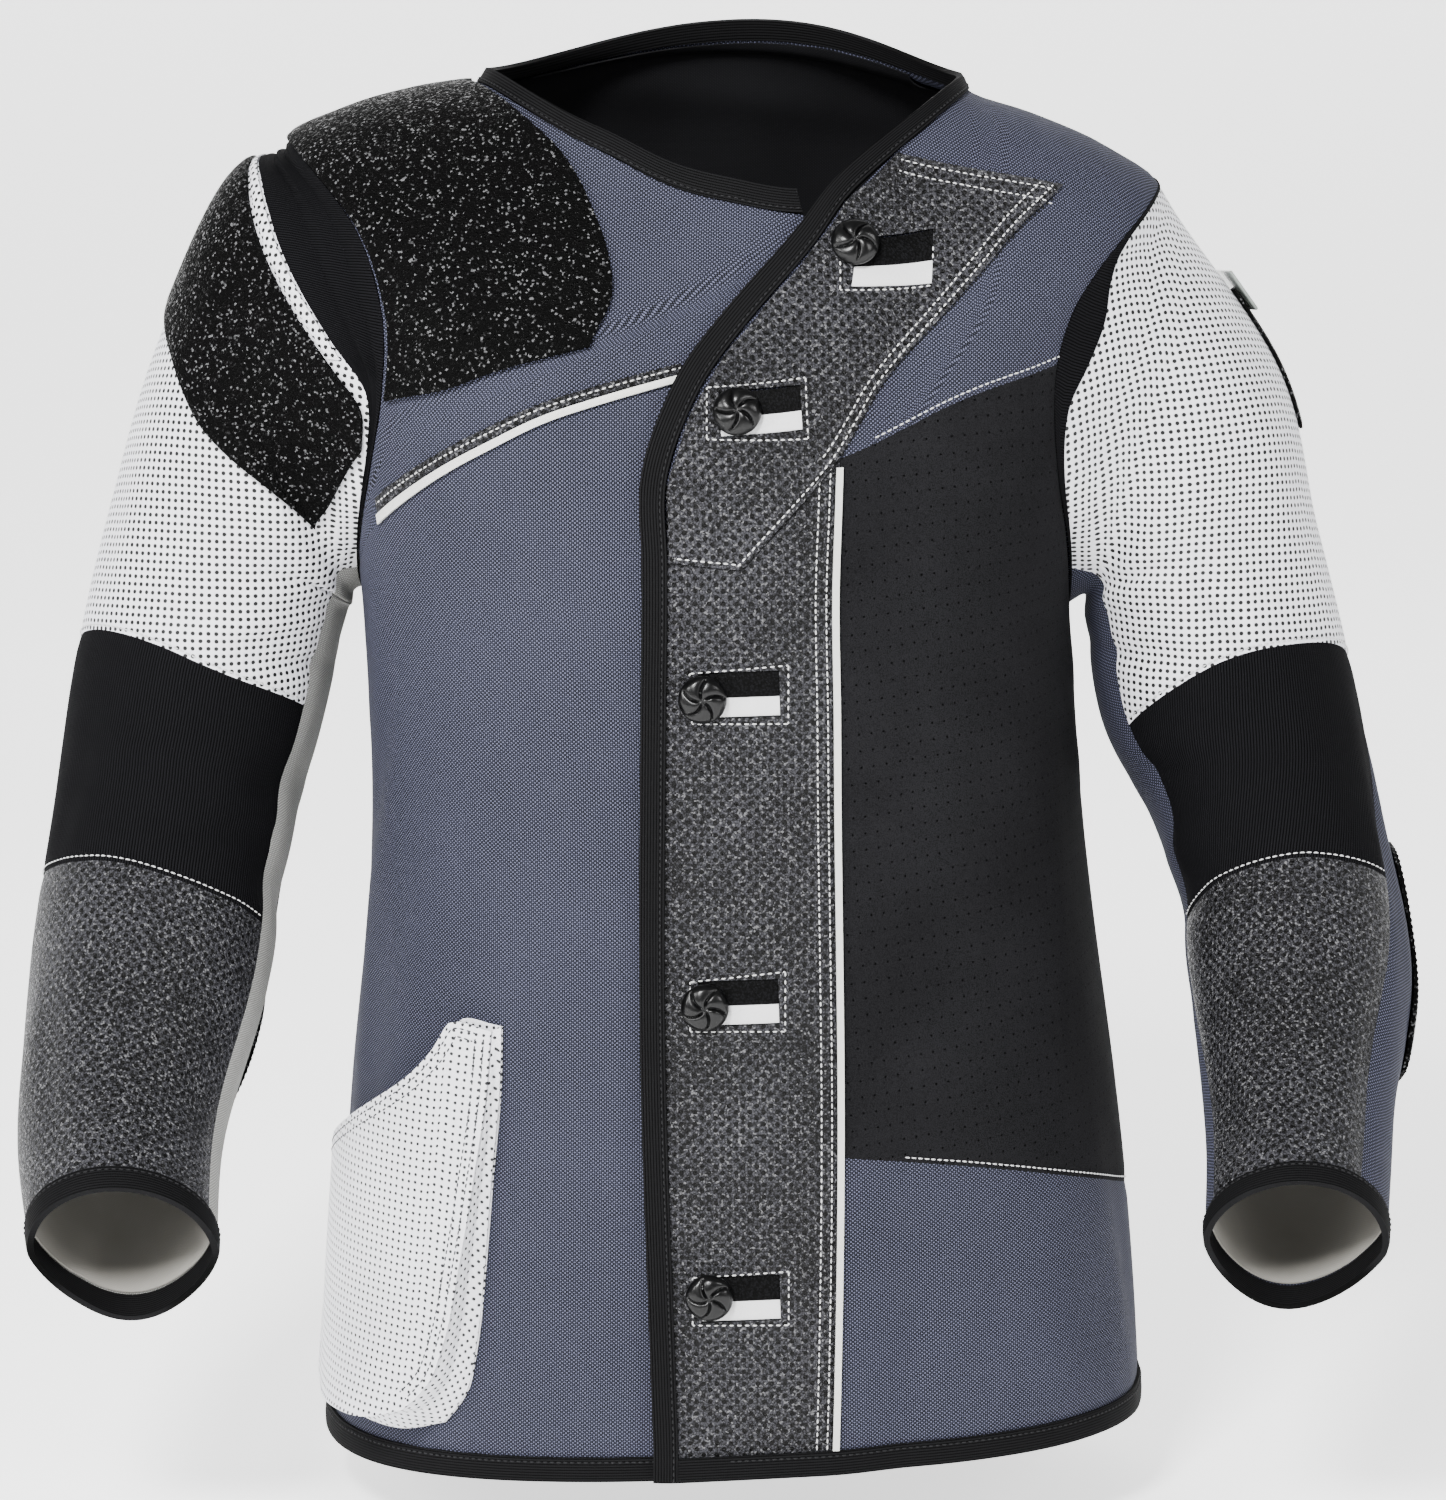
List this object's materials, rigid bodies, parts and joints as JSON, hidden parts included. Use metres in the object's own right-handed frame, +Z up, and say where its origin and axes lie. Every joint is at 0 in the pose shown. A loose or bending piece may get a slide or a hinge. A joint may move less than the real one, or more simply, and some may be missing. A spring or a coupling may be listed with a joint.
{
  "type": "shooting jacket",
  "caption": "Stiff canvas and leather shooting jacket, filled out and hollow, with bent sleeves, a buttoned front, rubber shoulder and elbow pads and a bellows pocket.",
  "frame": {"origin": "between the shoulders, at the height where the jacket rests on its wearer", "axes": "-Y is the front, +X the wearer's left, +Z up"},
  "size_m": [0.6901, 0.3396, 0.7085],
  "materials": {
    "canvas": "blue-grey canvas in a plain weave",
    "pale_canvas": "pale grey canvas in a plain weave",
    "charcoal_leather": "grained and perforated, half gloss",
    "suede": "matt suede with fine holes",
    "white_leather": "smooth, with small holes in a square grid",
    "knit": "fine ribbed stretch knit",
    "rubber": "fine crumb",
    "tape": "ribbed tape",
    "lining": "smooth",
    "black_lining": "smooth",
    "button": "glossy",
    "piping": "smooth",
    "clear_plastic": "cloudy, half clear"
  },
  "bodies": {
    "root": {"back": "canvas", "neck_lining": "black_lining", "hem_binding_back": "tape", "neck_binding_back": "tape", "right_front": "canvas", "right_shoulder": "canvas", "hem_binding_right": "tape", "neck_binding_right": "tape", "right_piping": "piping", "right_seam_strip": "charcoal_leather", "chest_pad": "rubber", "left_shoulder": "canvas", "left_chest": "suede", "left_skirt": "canvas", "placket": "charcoal_leather", "placket_flap": "charcoal_leather", "left_piping": "piping", "hem_binding_left": "tape", "front_binding_left": "tape", "button_1": "button", "button_2": "button", "button_3": "button", "button_4": "button", "button_5": "button", "button_lip_dark_1": "charcoal_leather", "button_lip_dark_2": "charcoal_leather", "button_lip_dark_3": "charcoal_leather", "button_lip_dark_4": "charcoal_leather", "button_lip_dark_5": "charcoal_leather", "button_lip_white_1": "white_leather", "button_lip_white_2": "white_leather", "button_lip_white_3": "white_leather", "button_lip_white_4": "white_leather", "button_lip_white_5": "white_leather", "armhole_gusset_right": "knit", "armhole_gusset_left": "knit", "sleeve_leather_right": "white_leather", "sleeve_leather_left": "white_leather", "elbow_band_right": "knit", "elbow_band_left": "knit", "forearm_right": "charcoal_leather", "forearm_left": "charcoal_leather", "sleeve_back_right": "pale_canvas", "sleeve_back_left": "canvas", "elbow_pad_right": "rubber", "elbow_pad_left": "rubber", "cuff_binding_right": "tape", "cuff_binding_left": "tape", "cuff_lining_right": "lining", "cuff_lining_left": "lining", "sleeve_edge_strip_right": "white_leather", "sleeve_pad_right": "rubber", "sling_strap": "knit", "sling_plate": "clear_plastic", "pocket_back": "white_leather", "pocket_face": "white_leather", "pocket_bellows": "white_leather"}
  },
  "joints": []
}
